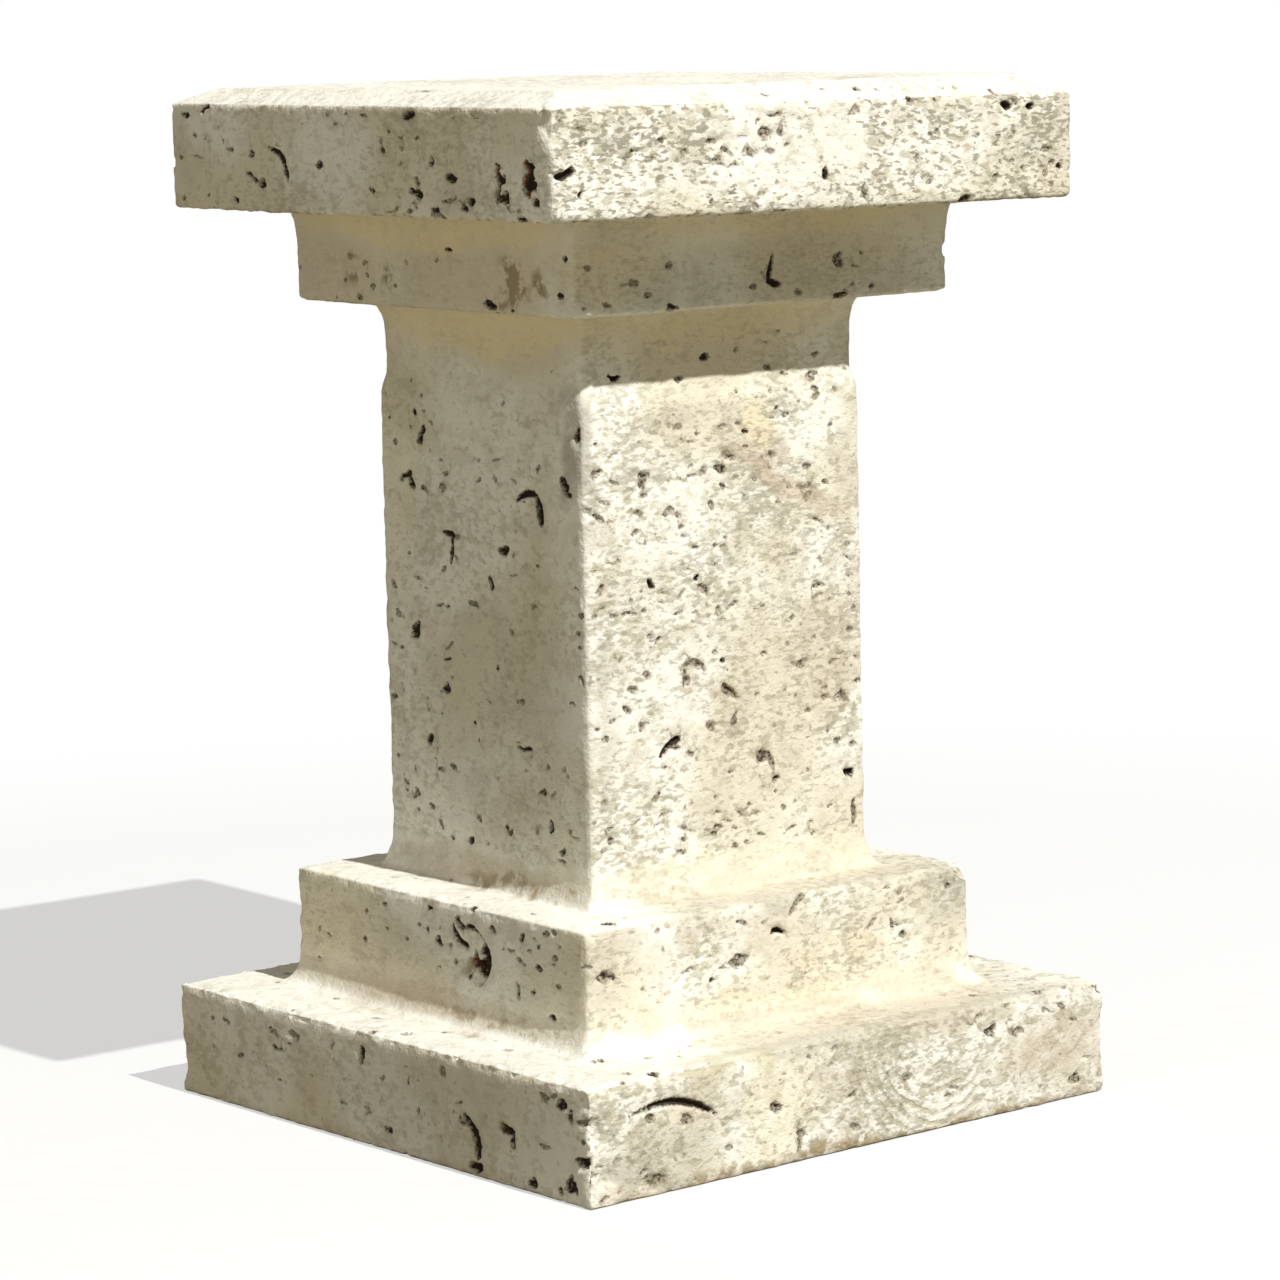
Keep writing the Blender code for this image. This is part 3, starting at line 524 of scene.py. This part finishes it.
# Takes the voids one by one. The points near a face are moved a little first, so that walls come out uneven.
def carveNamedVoids(points, inside, taken, rust):
    cut = voidCut
    uneven = warped(points, *cut["uneven"], 900)
    ragged = layeredNoise(points, cut["raggedSize"], 950, 2)
    reach = 0.012
    for place, found in stoneVoids().items():
        name, face = place.split()
        across, height, inward = facePlaces(uneven, name, face)
        plain = facePlaces(points, name, face)
        near = np.flatnonzero((np.abs(inward - reach / 2) < reach) & (height > tiers[name]["foot"] - 0.004)
                              & (height < tiers[name]["head"] + 0.004))
        for kind, row in found:
            isCrack = kind == "crack"
            middle = (row[0][0] + row[1][0]) / 2 if isCrack else row[0]
            here = near[np.abs(across[near] - middle * mm) < cut["near"]]
            if isCrack:
                depthIn = insideCrack(*(values[here] for values in plain), row) + cut["crackRagged"] * ragged[here]
            else:
                depthIn = insideVoid(across[here], height[here], inward[here], row, kind == "chip")
            if kind == "chip":
                taken[here] = np.maximum(taken[here], row[5] * mm * smoothStep(-0.0002, cut["chipWall"], depthIn))
                continue
            size = row[3] if isCrack else math.sqrt(row[2] * row[3])
            if not isCrack:
                depthIn += cut["ragged"] * size * ragged[here]
            mark = row[-1] if len(row) > (4 if isCrack else 5) else 0
            # The dark colour of a void is dirt and painted shade of the hollow, reaching further in on the faces in
            # shade.
            depthShare, dirtAndShade = voidKinds[kind if kind == "pit" else "black" if mark else face]
            deep = depthShare * min(cut["shallowest"] + cut["perSize"] * size, cut["deepest"])
            inside[here] = np.maximum(inside[here], np.minimum(depthIn, dirtAndShade * mm))
            taken[here] = np.maximum(taken[here], 0) + deep * smoothStep(-0.0001, cut["wall"], depthIn)
            if mark == 1:
                rust[here] = np.maximum(rust[here], smoothStep(-0.001, 0.0005, depthIn))


# How much of each tint the stained, darker and paler places, painted light and shade among them, lay on each
# point: full in the middle of an uneven ellipse, none at its rim.
def stainAndPaintedLightFacts(points):
    tints = {tint: np.zeros(len(points), dtype=np.float32) for tint in ("pale", *stainAndPaintedLightTints)}
    coarse, fine = stainAndPaintedLightShape["bends"]
    middle, reach = stainAndPaintedLightShape["ledge"]
    uneven = warped(warped(points, *coarse, 700), *fine, 710)
    for place, rows in stainsAndPaintedLight.items():
        name, face = place.split()
        across, height, inward = facePlaces(uneven, name, face)
        shallow = np.flatnonzero(np.abs(inward) < stainAndPaintedLightShape["face"])
        ledge = np.flatnonzero(np.abs(inward - middle) < reach)
        for *oval, tint, strength, lean in ((*row, 0)[:7] for row in rows):
            near = ledge if tint == "beige" else shallow
            u, v = ovalPlaces(across[near], height[near], (*oval, lean))
            share = strength * smoothStep(0.0, stainAndPaintedLightShape["fade"], 1 - np.hypot(u, v))
            tints[tint][near] = np.maximum(tints[tint][near], share)
    return {tint + "Share": values for tint, values in tints.items()}


# Where the growth lines lie: a ring below and to the left of their middle, fading towards its rims.
def swirlFact(points):
    across, height, inward = facePlaces(points, swirlSeen["tier"], swirlSeen["face"])
    x0, z0 = swirlSeen["middle"]
    (low, high), (first, last) = swirlSeen["radii"], swirlSeen["rims"]
    x, z = across / mm - x0, height / mm - z0
    away = np.hypot(x, z)
    ring = smoothStep(low, low + first, away) * (1 - smoothStep(high - last, high, away))
    side = smoothStep(*swirlSeen["right"], x) * smoothStep(*swirlSeen["above"], z)
    return np.where(np.abs(inward) < swirlSeen["inward"] * mm, ring * side, 0.0)


# The worn surface: every point moves into the stone by what the waver, roughness, edges and voids take there.
def wornSurface():
    grid, rowCove, rowEdge, rowNames = smoothSurface()
    rows, columns = grid.shape[:2]
    normals = gridNormals(grid)
    normals[-1] = (0.0, 0.0, 1.0)
    normals[0, :, 2] = 0.0
    normals[0] /= np.linalg.norm(normals[0], axis=1, keepdims=True)
    points = grid.reshape(-1, 3).astype(np.float32)
    normal = normals.reshape(-1, 3)
    coveNoise = layeredNoise(points, wear["coveSize"], 51, 3)
    coveLimit = np.repeat(rowCove, columns) - 0.001 + wear["coveUneven"] * coveNoise
    coveShare = smoothStep(-0.0015, 0.0030, coveLimit)
    levelEdge = np.repeat(rowEdge, columns)
    print("stone: smooth surface of", rows, "rows and", columns, "columns")

    # Distance to the nearest vertical arris, on upright stretches only.
    inner, arc = columnTemplate()
    fromArris = 1 - np.abs(inner).min(axis=1)
    halfWidth = np.abs(grid[:, :, :2]).max(axis=2).max(axis=1)
    sideEdge = (fromArris[None, :] * halfWidth[:, None]).ravel()
    upright = np.abs(normal[:, 2]) < 0.7
    edge = np.minimum(levelEdge, np.where(upright, sideEdge, 1.0))

    calm = 1 - wear["coveCalm"] * coveShare
    proud, worse, chipped = (np.repeat([skins[name][n] for name in rowNames], columns) for n in range(3))
    atFoot = points[:, 2] < wear["footLevel"]
    worse = worse * np.where(atFoot, wear["footEdge"], 1.0)
    chipped = chipped * np.where(atFoot, wear["footChips"], 1.0)
    sky = smoothStep(0.35, 0.9, normal[:, 2])
    waver = 0.5 + 0.5 * layeredNoise(points, wear["waverSize"], 1, 2)
    rough = 0.5 + 0.5 * layeredNoise(points, wear["roughSize"], 5, 2)
    grain = 0.5 + 0.5 * softNoise(points, wear["grainSize"], 9)
    taken = wear["waver"] * waver + calm * (wear["rough"] * rough + wear["grain"] * grain)
    taken = taken - proud * (1 - wear["skyProud"] * sky)
    ragged = np.clip(0.55 + layeredNoise(points, wear["edgeSize"], 15, 3), 0, 1.6)
    taken += wear["edge"] * worse * ragged * np.clip(1 - edge / (wear["edgeReach"] * np.sqrt(worse)), 0, 1) ** 2
    print("stone: waver, roughness and worn edges")

    inside = np.full(len(points), -0.01, dtype=np.float32)
    voidTaken = np.zeros(len(points), dtype=np.float32)
    clusters = scatter["evenly"] + scatter["gather"] * layeredNoise(points, scatter["gatherSize"], 21, 2)
    clusters = np.clip(clusters, 0.05, 2.0)
    uneven = warped(points, *scatter["wall"], 31)
    for layer in voidLayers:
        isChip = layer["dark"] is None
        amount = chipped * np.exp(-edge / scatter["chipReach"]) if isChip else clusters
        depthIn = insideScatteredVoid(uneven, layer, amount * np.clip(1 - 1.15 * coveShare, 0, 1))
        # A scattered void's dark colour is dirt and painted shade of the hollow.
        if not isChip:
            inside = np.maximum(inside, np.minimum(depthIn, layer["dark"]))
        voidTaken = np.maximum(voidTaken, layer["depth"] * smoothStep(0.0, 0.0010, depthIn))
    rust = np.zeros_like(inside)
    carveNamedVoids(points, inside, voidTaken, rust)
    print("stone: voids, chips and cracks")

    moved = points - normal * (taken + voidTaken)[:, None]
    moved = np.clip(moved, np.array(cadBox[0]), np.array(cadBox[1]))
    moved[:columns, 2] = 0.0

    west = smoothStep(0.5, 0.9, -normal[:, 0])
    onSlab = np.repeat([name == "slab" for name in rowNames], columns)
    # Ledges to the west and the slab's top, where they face up: painted sunlight, with fewer marks and paler paint
    # there.
    sunPaintedLedges = np.maximum(smoothStep(-0.04, -0.08, points[:, 0]), calmMarks["slabTop"] * onSlab) * sky
    inShade = smoothStep(0.335, 0.365, points[:, 2]) * (1 - smoothStep(0.425, 0.440, points[:, 2]))
    marks = 1.0
    for place, share in (("sky", sky), ("ledge", sunPaintedLedges), ("west", west), ("cove", coveShare), ("head", inShade)):
        marks = marks * (1 - calmMarks[place] * share)
    strokes = np.where(onSlab, 1.0, calmMarks["strokes"]) * marks * (1 - calmMarks["westStrokes"] * west)
    facts = dict(voidReach=np.clip(inside / mm, -3, 3), markShare=marks, rustShare=rust,
                 swirlShare=swirlFact(points), strokeShare=strokes)
    facts.update(stainAndPaintedLightFacts(points))
    # Faces that look up are painted paler, and the ledges to the west and the slab's top most of all: painted
    # sunlight on the lit tops.
    facts["paleShare"] = np.clip(facts["paleShare"] + smoothStep(-0.3, 0.4, layeredNoise(points, 0.060, 61, 3))
                                 + 0.3 * sky + 0.8 * sunPaintedLedges, 0, 1)
    facts["beigeShare"] = np.clip(facts["beigeShare"] * (1 + 0.2 * sky) * (1 - sunPaintedLedges), 0, 1)
    return moved, rows, columns, facts


# A closed mesh over rows of rings, with a flat face below the first row and above the last.
def ringMesh(name, points, rows, columns):
    mesh = bpy.data.meshes.new(name)
    here = np.arange(rows * columns).reshape(rows, columns)
    after = np.roll(here, -1, axis=1)
    quads = np.stack([here[:-1], after[:-1], after[1:], here[1:]], axis=2).reshape(-1)
    corners = np.concatenate([quads, here[0][::-1], here[-1]]).astype(np.int32)
    quadCount = (rows - 1) * columns
    starts = np.concatenate([np.arange(quadCount) * 4, [quadCount * 4, quadCount * 4 + columns]]).astype(np.int32)
    mesh.vertices.add(len(points))
    mesh.vertices.foreach_set("co", points.astype(np.float32).ravel())
    mesh.loops.add(len(corners))
    mesh.loops.foreach_set("vertex_index", corners)
    mesh.polygons.add(len(starts))
    mesh.polygons.foreach_set("loop_start", starts)
    mesh.polygons.foreach_set("use_smooth", np.ones(len(starts), dtype=bool))
    mesh.update(calc_edges=True)
    return mesh


# An object of the given data, under the same name.
def addObject(data):
    made = bpy.data.objects.new(data.name, data)
    bpy.context.scene.collection.objects.link(made)
    return made


# Keeps the triangles where the surface turns, and puts the result in place of the mesh.
def thinned(piece, triangles):
    mesh = piece.data
    mesh.calc_loop_triangles()
    before = len(mesh.loop_triangles)
    modifier = piece.modifiers.new("thin", "DECIMATE")
    modifier.ratio = min(1.0, triangles / before)
    modifier.use_collapse_triangulate = True
    bpy.context.view_layer.update()
    done = bpy.data.meshes.new_from_object(piece.evaluated_get(bpy.context.evaluated_depsgraph_get()))
    piece.modifiers.clear()
    name = mesh.name
    piece.data = done
    bpy.data.meshes.remove(mesh)
    done.name = name
    place = np.empty(len(done.vertices) * 3, dtype=np.float32)
    done.vertices.foreach_get("co", place)
    low, high = (np.array(corner, dtype=np.float32) for corner in cadBox)
    done.vertices.foreach_set("co", np.clip(place.reshape(-1, 3), low, high).ravel())
    print("stone:", before, "triangles thinned to", len(done.polygons))


# The finished piece: the worn surface as a mesh with its facts, thinned.
def carvedStone():
    points, rows, columns, facts = wornSurface()
    mesh = ringMesh("pedestalStone", points, rows, columns)
    for name, values in facts.items():
        mesh.attributes.new(name, "FLOAT", "POINT").data.foreach_set("value", values.astype(np.float32))
    piece = addObject(mesh)
    thinned(piece, fineness["triangles"])
    return piece


# Gives each input of a node a link or a fixed value.
def feed(tree, node, inputs):
    for socket, value in inputs.items():
        if isinstance(value, bpy.types.NodeSocket):
            tree.links.new(value, node.inputs[socket])
        else:
            node.inputs[socket].default_value = value


# A shader node with its settings and inputs.
def addNode(tree, kind, inputs=None, **settings):
    node = tree.nodes.new("ShaderNode" + kind)
    for name, value in settings.items():
        setattr(node, name, value)
    feed(tree, node, inputs or {})
    return node


# A group that makes a mask from a position and some values.
def maskGroup(name, **values):
    tree = bpy.data.node_groups.new(name, "ShaderNodeTree")
    tree.interface.new_socket("Position", in_out="INPUT", socket_type="NodeSocketVector")
    for socket, value in values.items():
        tree.interface.new_socket(socket, in_out="INPUT", socket_type="NodeSocketFloat").default_value = value
    tree.interface.new_socket("Mask", in_out="OUTPUT", socket_type="NodeSocketFloat")
    return tree, tree.nodes.new("NodeGroupInput").outputs, tree.nodes.new("NodeGroupOutput").inputs


# One sum, product or the like of up to three values.
def maths(tree, operation, first, second=0.0, third=0.0):
    return addNode(tree, "Math", {0: first, 1: second, 2: third}, operation=operation).outputs[0]


# The product of two values.
def times(tree, first, second):
    return maths(tree, "MULTIPLY", first, second)


# The same as maths for vectors.
def vectorMaths(tree, operation, inputs, output=0):
    return addNode(tree, "VectorMath", inputs, operation=operation).outputs[output]


# A value carried from one range to 0 to 1, with soft ends.
def ramp(tree, value, low, high):
    return addNode(tree, "MapRange", {"Value": value, "From Min": low, "From Max": high},
                   interpolation_type="SMOOTHSTEP").outputs["Result"]


# The first colour turning to the second as the share goes from 0 to 1.
def mixColour(tree, share, first, second):
    first, second = ((*value, 1.0) if isinstance(value, tuple) else value for value in (first, second))
    return addNode(tree, "Mix", {0: share, 6: first, 7: second}, data_type="RGBA", clamp_factor=True).outputs[2]


# Soft noise around a half.
def noiseValue(tree, vector, scale, detail=3.0, roughness=0.55, distortion=0.0):
    return addNode(tree, "TexNoise", {"Vector": vector, "Scale": scale, "Detail": detail, "Roughness": roughness,
                                      "Distortion": distortion}).outputs["Fac"]


# Soft flecks: noise squeezed upwards and kept above a threshold, which the broader areas raise and lower.
def flecksGroup():
    tree, given, out = maskGroup("flecks", Size=150.0, Flatness=1.6, Threshold=0.56, Softness=0.06, Areas=0.5,
                                 Patchiness=0.25)
    squeeze = addNode(tree, "CombineXYZ", {"X": 1.0, "Y": 1.0, "Z": given["Flatness"]}).outputs[0]
    flat = vectorMaths(tree, "MULTIPLY", {0: given["Position"], 1: squeeze})
    flecks = noiseValue(tree, flat, given["Size"], 2.0, 0.45)
    centred = maths(tree, "SUBTRACT", 0.5, given["Areas"])
    low = maths(tree, "MULTIPLY_ADD", centred, given["Patchiness"], given["Threshold"])
    high = maths(tree, "ADD", low, given["Softness"])
    tree.links.new(ramp(tree, flecks, low, high), out["Mask"])
    return tree


# Small pits: a round spot in some of the cells of a lattice, with an uneven outline.
def pitsGroup():
    tree, given, out = maskGroup("finePits", Size=250.0, Share=0.3, Radius=0.3, Areas=0.5)
    wobble = addNode(tree, "TexNoise", {"Vector": given["Position"], "Scale": given["Size"], "Detail": 1.0})
    away = vectorMaths(tree, "SUBTRACT", {0: wobble.outputs["Color"], 1: (0.5, 0.5, 0.5)})
    shifted = vectorMaths(tree, "SCALE", {0: away, "Scale": maths(tree, "DIVIDE", 0.6, given["Size"])})
    place = vectorMaths(tree, "ADD", {0: given["Position"], 1: shifted})
    cells = addNode(tree, "TexVoronoi", {"Vector": place, "Scale": given["Size"]})
    chance = addNode(tree, "SeparateColor", {"Color": cells.outputs["Color"]}).outputs[0]
    allowed = times(tree, given["Share"], ramp(tree, given["Areas"], 0.38, 0.62))
    held = maths(tree, "LESS_THAN", chance, allowed)
    inner = times(tree, given["Radius"], 0.35)
    spot = ramp(tree, cells.outputs["Distance"], given["Radius"], inner)
    tree.links.new(times(tree, spot, held), out["Mask"])
    return tree


# The stone's tints.
stoneLook = dict(
    cream=(0.76, 0.70, 0.56), pale=(0.90, 0.88, 0.79), beige=(0.63, 0.57, 0.455), mottle=(0.59, 0.55, 0.43),
    fleck=(0.45, 0.41, 0.29), stroke=(0.30, 0.27, 0.20), warm=(0.88, 0.78, 0.52), sand=(0.72, 0.665, 0.50),
    tan=(0.56, 0.46, 0.34), grey=(0.52, 0.50, 0.43), olive=(0.50, 0.46, 0.28), stain=(0.40, 0.325, 0.21),
    voidBrown=(0.045, 0.031, 0.020), rimBrown=(0.27, 0.225, 0.155), rust=(0.24, 0.10, 0.045),
)
# Its patterns, as (scale, detail, roughness, distortion), its small marks, how strongly each tint covers the stone,
# how high each pattern stands, in millimetres, and how it shines.
stonePatterns = dict(patches=(42.0, 4.0, 0.62, 0.4), mottle=(105.0, 3.0, 0.62), areas=(23.0, 2.0, 0.55),
                     grain=(480.0, 2.0, 0.7), voidRim=(620.0, 1.0))
stoneMarks = dict(broadFlecks=dict(Size=165.0, Flatness=1.7, Threshold=0.54, Softness=0.09, Patchiness=0.40),
                  strokes=dict(Size=235.0, Flatness=2.3, Threshold=0.56, Softness=0.08, Patchiness=0.50),
                  smallPits=dict(Size=230.0, Share=0.16, Radius=0.34))
cover = dict(beige=0.55, mottle=0.50, stainsWithPaintedLight=0.85, swirl=0.90, broadFlecks=0.60, strokes=0.80, smallPits=0.65,
             rims=0.70)
relief = dict(grain=0.45, mottle=1.1, swirl=-0.35, smoothest=0.80, roughest=0.98, shine=0.25)


# A new material, with its tree, its shader and the position in it.
def newMaterial(name):
    material = bpy.data.materials.new(name)
    material.use_nodes = True
    tree = material.node_tree
    return material, tree, tree.nodes["Principled BSDF"], addNode(tree, "TexCoord").outputs["Object"]


# The stone: cream to pale, and paler on the sunlit tops as painted sunlight, covered in turn by patches, stained
# places with some painted light and shade among them, growth lines, small marks and the dark of the voids, which is
# dirt and painted shade.
def travertine():
    material, tree, shader, position = newMaterial("travertine")
    look = stoneLook

    # What the mesh knows of a point, by its attribute's name.
    def pieceFact(name):
        return addNode(tree, "Attribute", attribute_name=name).outputs["Fac"]

    # The colour turning to a tint by the share of the marks times how strongly they cover the stone.
    def covered(colour, share, name, tint):
        return mixColour(tree, times(tree, share, cover[name]), colour, look[tint])

    marks, strokeMarks = pieceFact("markShare"), pieceFact("strokeShare")
    patches, mottle, areas, grain, voidRim = (noiseValue(tree, position, *row) for row in stonePatterns.values())
    colour = mixColour(tree, pieceFact("paleShare"), look["cream"], look["pale"])
    colour = covered(colour, times(tree, ramp(tree, patches, 0.50, 0.62), marks), "beige", "beige")
    colour = covered(colour, times(tree, ramp(tree, mottle, 0.52, 0.64), marks), "mottle", "mottle")
    # Stained, darker and paler places in their tints, with painted shade and painted warm bounce light among them.
    for tint in stainAndPaintedLightTints:
        if tint == "stain":
            uneven = times(tree, ramp(tree, mottle, 0.43, 0.58), 1.7)
        else:
            uneven = maths(tree, "MULTIPLY_ADD", mottle if tint in ("tan", "olive") else patches, 1.6, 0.2)
        colour = covered(colour, times(tree, pieceFact(tint + "Share"), uneven), "stainsWithPaintedLight", tint)
    # Growth lines: a wave of the distance to their middle, bent by the mottle.
    x0, z0 = (value * mm for value in swirlSeen["middle"])
    flat = vectorMaths(tree, "MULTIPLY", {0: position, 1: (1.0, 0.0, 1.0)})
    away = vectorMaths(tree, "DISTANCE", {0: flat, 1: (x0, 0.0, z0)}, "Value")
    bent = maths(tree, "MULTIPLY_ADD", mottle, swirlSeen["bend"] * mm, away)
    wave = maths(tree, "SINE", times(tree, bent, 2 * math.pi / (swirlSeen["spacing"] * mm)))
    kept = times(tree, pieceFact("swirlShare"), ramp(tree, patches, 0.34, 0.50))
    swirl = times(tree, kept, ramp(tree, wave, -0.5, 1.0))
    colour = covered(colour, swirl, "swirl", "mottle")

    flecks, pits = flecksGroup(), pitsGroup()

    # A group's mask times the share that the place allows.
    def placed(group, share, **values):
        node = addNode(tree, "Group", {"Position": position, "Areas": areas, **values}, node_tree=group)
        return times(tree, node.outputs["Mask"], share)

    rows = (("broadFlecks", flecks, marks, "fleck"), ("strokes", flecks, strokeMarks, "stroke"),
            ("smallPits", pits, marks, "rimBrown"))
    for name, group, share, tint in rows:
        colour = covered(colour, placed(group, share, **stoneMarks[name]), name, tint)

    # Voids: dark inside with dirt and painted shade of the hollow, brown towards the rim and rusty where iron
    # stained them.
    reach = maths(tree, "ADD", pieceFact("voidReach"), maths(tree, "MULTIPLY_ADD", voidRim, 1.3, -0.65))
    rusty = times(tree, pieceFact("rustShare"), ramp(tree, mottle, 0.38, 0.52))
    rusty = times(tree, rusty, ramp(tree, reach, 1.0, 0.3))
    voidColour = mixColour(tree, rusty, look["voidBrown"], look["rust"])
    colour = covered(colour, ramp(tree, reach, -0.75, -0.05), "rims", "rimBrown")
    colour = mixColour(tree, ramp(tree, reach, -0.15, 0.40), colour, voidColour)

    height = maths(tree, "MULTIPLY_ADD", grain, relief["grain"], times(tree, mottle, relief["mottle"]))
    height = maths(tree, "MULTIPLY_ADD", swirl, relief["swirl"], height)
    bump = addNode(tree, "Bump", {"Strength": 1.0, "Distance": mm, "Height": height}).outputs["Normal"]
    rough = addNode(tree, "MapRange", {"Value": grain, "To Min": relief["smoothest"], "To Max": relief["roughest"]})
    feed(tree, shader, {"Base Color": colour, "Normal": bump, "Roughness": rough.outputs["Result"],
                        "Specular IOR Level": relief["shine"]})
    print("material: travertine")
    return material


# The second shader for the camera and the first for all other rays.
def byCamera(tree, others, seen):
    rays = addNode(tree, "LightPath").outputs["Is Camera Ray"]
    return addNode(tree, "MixShader", {0: rays, 1: others.outputs[0], 2: seen.outputs[0]}).outputs[0]


# The floor's size, where it turns from its colour to the background's white, and what it throws back on the stone.
floorLook = dict(half=9.0, clear=0.30, white=1.2, even=0.55, colour=(0.84, 0.84, 0.83), glow=1.0,
                 bounce=(0.25, 0.23, 0.17))


# A plain pale floor that turns to the background's white away from the stone.
def paleFloor():
    half = floorLook["half"]
    mesh = bpy.data.meshes.new("paleFloor")
    mesh.from_pydata([(-half, -half, 0), (half, -half, 0), (half, half, 0), (-half, half, 0)], [], [(0, 1, 2, 3)])
    floor = addObject(mesh)
    material, tree, shader, position = newMaterial("floorPaint")
    away = vectorMaths(tree, "LENGTH", {0: position}, "Value")
    far = maths(tree, "MAXIMUM", ramp(tree, away, floorLook["clear"], floorLook["white"]), floorLook["even"])
    speck = noiseValue(tree, position, 40.0, 3.0)
    low = tuple(channel * 0.985 for channel in floorLook["colour"])
    paint = mixColour(tree, speck, low, floorLook["colour"])
    feed(tree, shader, {"Base Color": paint, "Roughness": 0.9, "Specular IOR Level": 0.1})
    glow = addNode(tree, "Emission", {"Color": (1, 1, 1, 1), "Strength": floorLook["glow"]})
    seen = addNode(tree, "MixShader", {0: far, 1: shader.outputs[0], 2: glow.outputs[0]})
    dull = addNode(tree, "BsdfDiffuse", {"Color": (*floorLook["bounce"], 1)})
    feed(tree, tree.nodes["Material Output"], {"Surface": byCamera(tree, dull, seen)})
    mesh.materials.append(material)


# The sun's light, a weak one from the left and the sky's: bearings and heights in degrees, sizes in metres.
keyLight = dict(bearing=0.7, height=47.2, away=12.0, size=0.14, watts=1830.0, colour=(1.0, 1.0, 0.985))
sideLight = dict(bearing=-75.0, height=4.0, away=2.5, size=1.2, watts=5.2, colour=(1.0, 0.95, 0.83))
skyLight = dict(colour=(1.0, 0.945, 0.82), strength=0.27, shown=1.0)


# The direction from the stone by its bearing, round from the front to the right, and its height.
def directionTo(bearing, height):
    b, h = math.radians(bearing), math.radians(height)
    return Vector((math.sin(b) * math.cos(h), -math.cos(b) * math.cos(h), math.sin(h)))


# A round light that faces the aim from its distance.
def areaLight(name, look, aim):
    light = bpy.data.lights.new(name, "AREA")
    light.shape = "DISK"
    light.size = look["size"]
    light.energy = look["watts"]
    light.color = look["colour"]
    made = addObject(light)
    towards = directionTo(look["bearing"], look["height"])
    made.location = aim + towards * look["away"]
    made.rotation_euler = towards.to_track_quat("Z", "Y").to_euler()


# A warm even sky for the light, and white behind the stone.
def softSky():
    world = bpy.data.worlds.new("softSky")
    world.use_nodes = True
    tree = world.node_tree
    tree.nodes.clear()
    lighting = addNode(tree, "Background", {"Color": (*skyLight["colour"], 1), "Strength": skyLight["strength"]})
    shown = addNode(tree, "Background", {"Color": (1, 1, 1, 1), "Strength": skyLight["shown"]})
    addNode(tree, "OutputWorld", {"Surface": byCamera(tree, lighting, shown)})
    bpy.context.scene.world = world


# The camera stands at this bearing and height from the stone, in degrees, and leans a little to one side.
cameraLook = dict(bearing=-39.48, height=8.02, lean=-1.27, away=2.265, across=0.0054, level=0.2238, lens=131.26)


# Looks back along its direction, with both its axes turned by the lean.
def photographersCamera():
    look = cameraLook
    back = directionTo(look["bearing"], look["height"])
    right = (-back).cross(Vector((0, 0, 1))).normalized()
    up = back.cross(right)
    sideAxis, upAxis = turned(right, up, look["lean"])
    data = bpy.data.cameras.new("camera")
    data.sensor_width = 36.0
    data.lens = look["lens"]
    camera = addObject(data)
    turn = Matrix((sideAxis, upAxis, back)).transposed().to_4x4()
    place = back * look["away"] + Vector((0, 0, look["level"])) + right * look["across"]
    camera.matrix_world = Matrix.Translation(place) @ turn
    bpy.context.scene.camera = camera


stone = carvedStone()
stone.data.materials.clear()
stone.data.materials.append(travertine())
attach(stone, "root")
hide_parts("pedestal")
paleFloor()
stoneMiddle = Vector((0, 0, 0.25))
areaLight("key", keyLight, stoneMiddle)
areaLight("side", sideLight, stoneMiddle)
softSky()
photographersCamera()
bpy.context.scene.view_settings.view_transform = "Standard"

print("scene: done")
